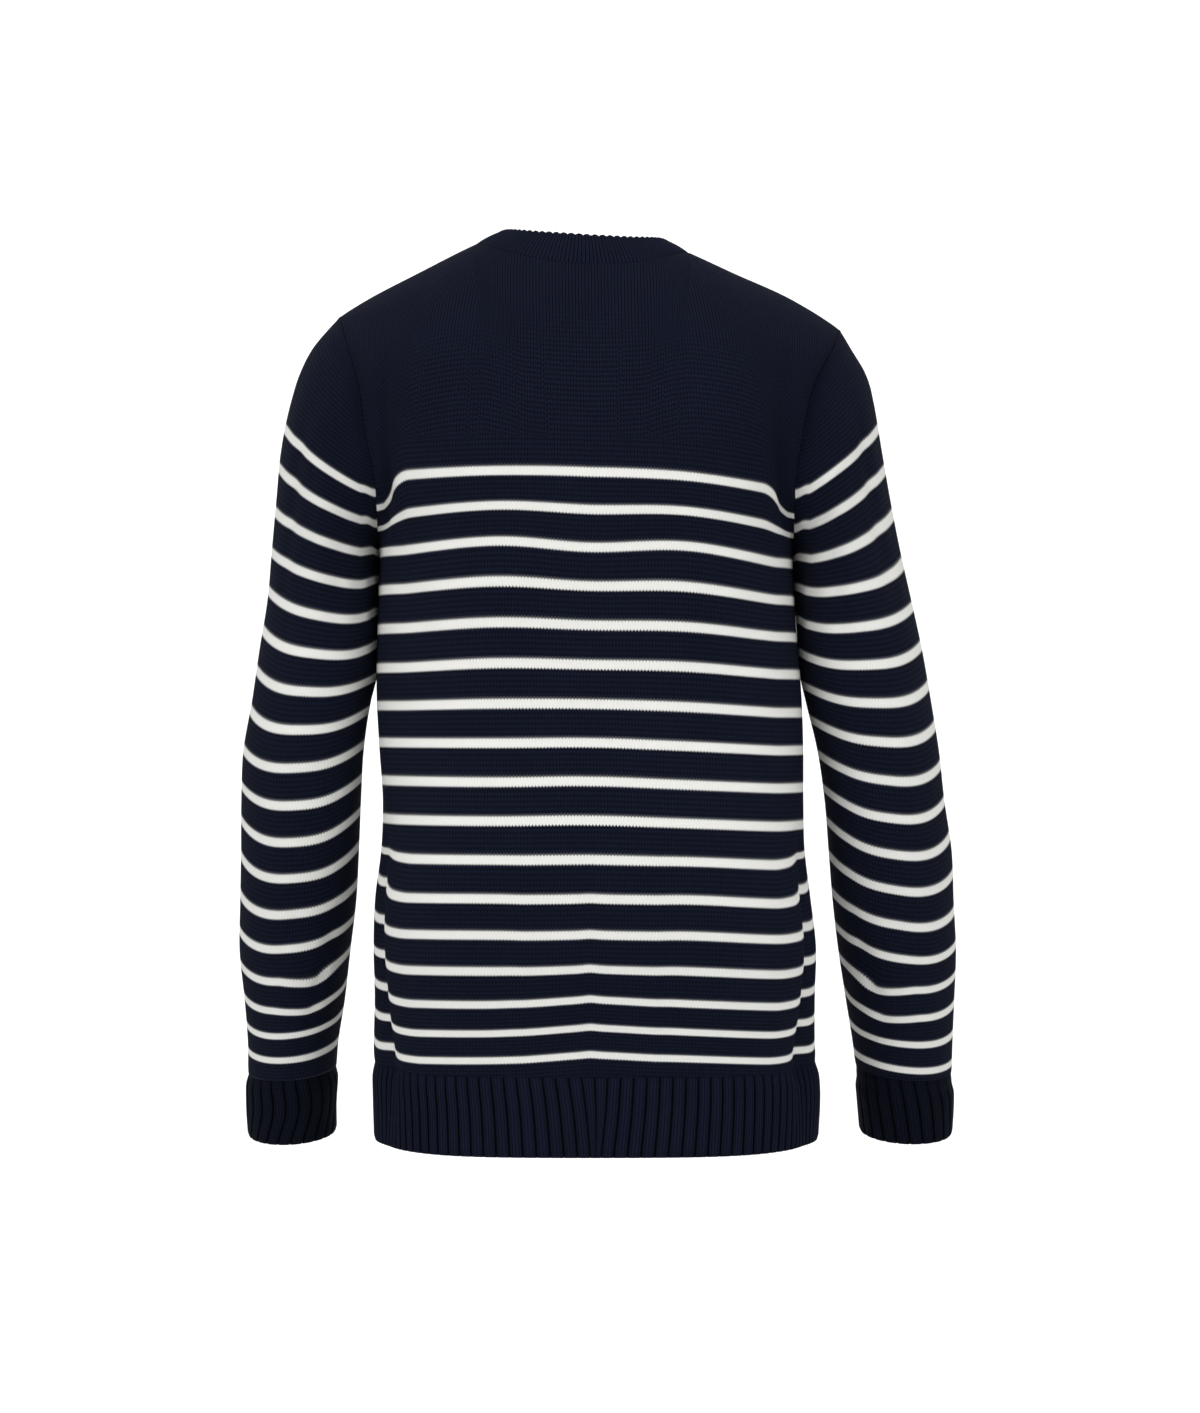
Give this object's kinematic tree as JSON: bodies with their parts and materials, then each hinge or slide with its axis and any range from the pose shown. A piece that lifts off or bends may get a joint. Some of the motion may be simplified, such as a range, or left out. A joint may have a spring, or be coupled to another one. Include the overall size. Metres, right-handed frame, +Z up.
{
  "type": "crew-neck knitted jumper",
  "caption": "Fine-knit crew-neck jumper with long sleeves and ribbed hem, cuffs and neckband, thin pale stripes on navy, filled out as if worn.",
  "frame": {"origin": "middle of the neck, level with the back of the neckband, where the wearer's neck and shoulders hold it", "axes": "+Z up, the front faces -Y, the wearer's left is +X"},
  "size_m": [0.561, 0.234, 0.7116],
  "materials": {
    "knit": "fine stocking-stitch knit, navy with thin pale stripes, matt",
    "rib": "ribbed knit, plain dark navy, matt"
  },
  "bodies": {
    "root": {"back": "knit", "front": "knit", "sleeve_left": "knit", "sleeve_right": "knit", "hem_rib_back": "rib", "hem_rib_front": "rib", "cuff_left": "rib", "cuff_right": "rib", "neckband": "rib"}
  },
  "joints": []
}
